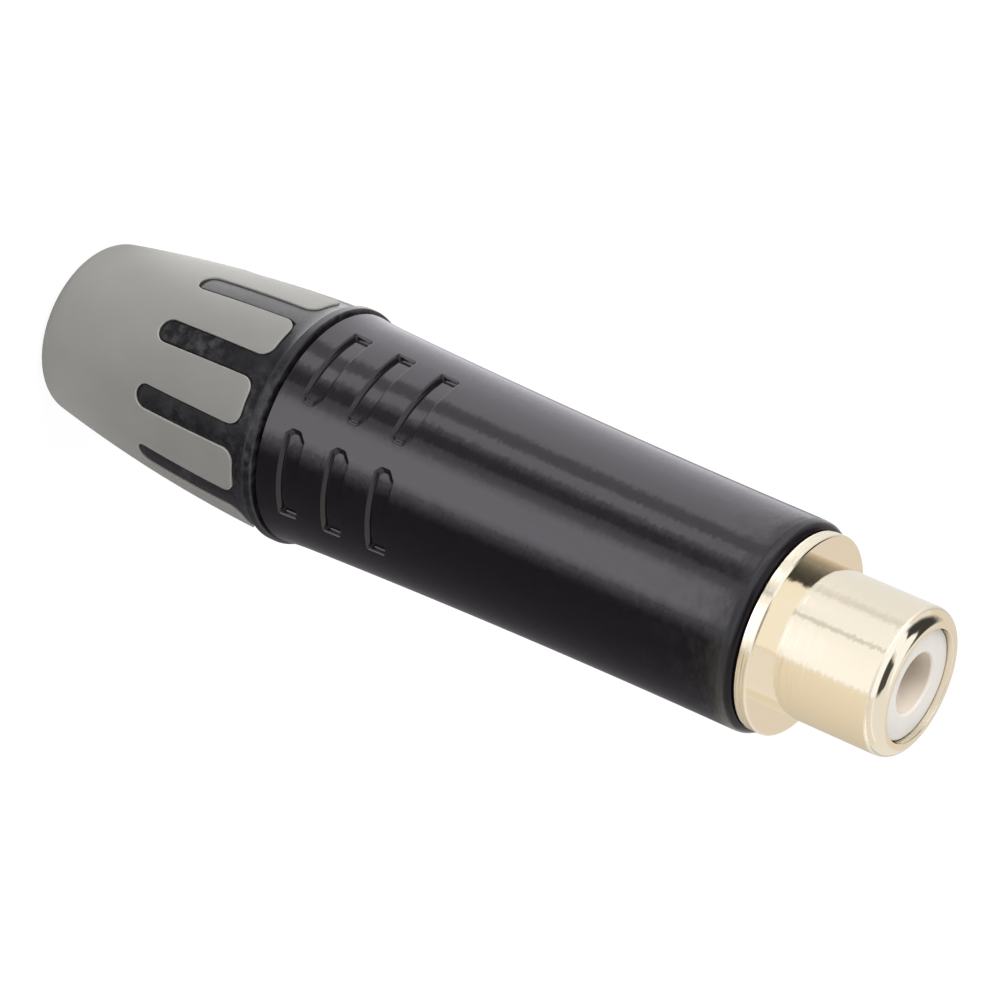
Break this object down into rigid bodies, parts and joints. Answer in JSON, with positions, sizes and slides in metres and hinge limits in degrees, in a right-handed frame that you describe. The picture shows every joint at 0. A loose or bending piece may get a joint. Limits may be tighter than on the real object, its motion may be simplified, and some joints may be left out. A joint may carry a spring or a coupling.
{
  "type": "rca socket",
  "caption": "In-line phono socket for a cable: gilt mouth with a white insulator, grooved black shell, and a two-tone grip nut that clamps the cable.",
  "frame": {"origin": "centre of the grip nut's rear face, on which the socket stands", "axes": "+Z along the socket's axis towards its mouth, +X through one of the shell's two keyways"},
  "size_m": [0.0138, 0.0138, 0.0555],
  "materials": {
    "gilt_brass": "polished, gold plated",
    "white_insulator": "moulded",
    "gilt_contact": "gold plated",
    "laminate_washer": "stamped laminate",
    "tinned_tag": "tinned",
    "clear_sleeve": "extruded",
    "black_shell": "gloss lacquer",
    "chuck_plastic": "moulded",
    "black_nut": "satin moulded",
    "grey_grip": "matte soft overmoulding"
  },
  "bodies": {
    "housing": {"shell": "black_shell"},
    "chuck": {"cable_chuck": "chuck_plastic"},
    "nut": {"nut_core": "black_nut", "nut_grip": "grey_grip"},
    "sleeve": {"insulating_sleeve": "clear_sleeve"},
    "socket": {"socket_body": "gilt_brass", "front_insulator": "white_insulator", "centre_contact": "gilt_contact", "rear_insulator": "laminate_washer", "earth_tag": "tinned_tag"}
  },
  "joints": [
    {"name": "chuck_travel", "type": "slide", "parent": "housing", "child": "chuck", "axis": [0, 0, -1], "range_m": [0, 0.004]},
    {"name": "nut_turn", "type": "hinge", "parent": "chuck", "child": "nut", "pos_m": [0, 0, 0.0141], "axis": [0, 0, -1], "range_deg": [0, 1440]},
    {"name": "sleeve_travel", "type": "slide", "parent": "housing", "child": "sleeve", "axis": [0, 0, 1], "range_m": [0, 0.0045]},
    {"name": "socket_turn", "type": "hinge", "parent": "sleeve", "child": "socket", "pos_m": [0, 0, 0.0445], "axis": [0, 0, 1], "range_deg": [0, 2160]}
  ],
  "couplings": [
    {"joint": "nut_turn", "follows": "chuck_travel", "rad_per_m": 6283.2},
    {"joint": "socket_turn", "follows": "sleeve_travel", "rad_per_m": 8377.6}
  ]
}
